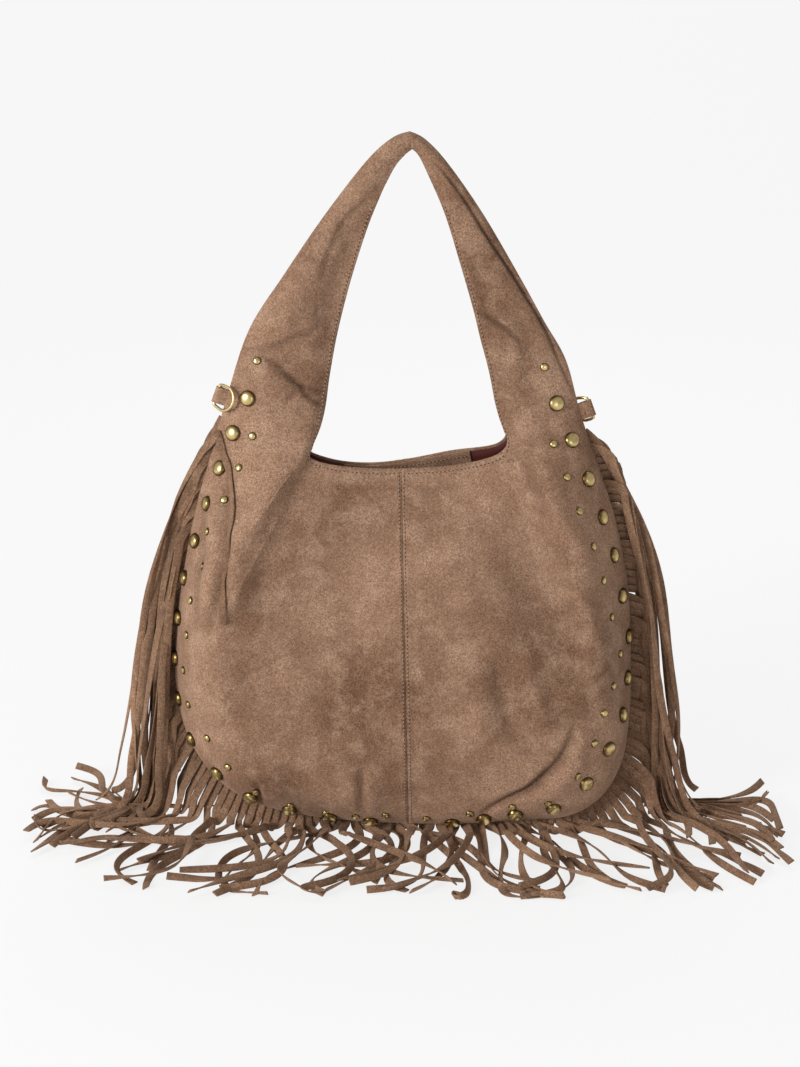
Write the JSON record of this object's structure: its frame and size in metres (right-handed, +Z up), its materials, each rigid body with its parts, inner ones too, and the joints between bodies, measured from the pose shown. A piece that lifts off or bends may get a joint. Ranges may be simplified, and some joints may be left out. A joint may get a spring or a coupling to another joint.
{
  "type": "fringed suede bag",
  "caption": "Slouchy shoulder bag of soft suede that stands on its base, with a deep open top, a two-ply strap, studs, ring tabs and a long fringe in its seam.",
  "frame": {"origin": "on the flat base, under the middle of the bag, in the plane of its side seams", "axes": "+X to the bag's right as seen from the front, -Y to the front, +Z up along the strap"},
  "size_m": [0.604, 0.252, 0.546],
  "materials": {
    "suede": "napped",
    "fringe_suede": "napped, cut edges",
    "lining_cloth": "plain weave",
    "antique_brass": "aged satin",
    "pale_gold": "satin plated"
  },
  "bodies": {
    "bag": {"back_facing": "suede", "back_panel_left": "suede", "back_panel_right": "suede", "fringe_base": "fringe_suede", "fringe_left": "fringe_suede", "fringe_right": "fringe_suede", "front_facing": "suede", "front_panel_left": "suede", "front_panel_right": "suede", "lining": "lining_cloth", "stud_left_01": "antique_brass", "stud_left_02": "antique_brass", "stud_left_03": "antique_brass", "stud_left_04": "antique_brass", "stud_left_05": "antique_brass", "stud_left_06": "antique_brass", "stud_left_07": "antique_brass", "stud_left_08": "antique_brass", "stud_left_09": "antique_brass", "stud_left_10": "antique_brass", "stud_left_11": "antique_brass", "stud_left_12": "antique_brass", "stud_left_13": "antique_brass", "stud_left_14": "antique_brass", "stud_left_15": "antique_brass", "stud_right_01": "antique_brass", "stud_right_02": "antique_brass", "stud_right_03": "antique_brass", "stud_right_04": "antique_brass", "stud_right_05": "antique_brass", "stud_right_06": "antique_brass", "stud_right_07": "antique_brass", "stud_right_08": "antique_brass", "stud_right_09": "antique_brass", "stud_right_10": "antique_brass", "stud_right_11": "antique_brass", "stud_right_12": "antique_brass", "stud_right_13": "antique_brass", "stud_right_14": "antique_brass", "stud_right_15": "antique_brass", "tab_left": "suede", "tab_right": "suede"},
    "ring_left": {"d_ring_left": "pale_gold"},
    "ring_right": {"d_ring_right": "pale_gold"}
  },
  "joints": [
    {"name": "ring_left_swing", "type": "hinge", "parent": "bag", "child": "ring_left", "pos_m": [-0.1432, 0, 0.3455], "axis": [-0.342, 0, -0.9397], "range_deg": [0, 280]},
    {"name": "ring_right_swing", "type": "hinge", "parent": "bag", "child": "ring_right", "pos_m": [0.1432, 0, 0.335], "axis": [0.342, 0, -0.9397], "range_deg": [0, 280]}
  ]
}
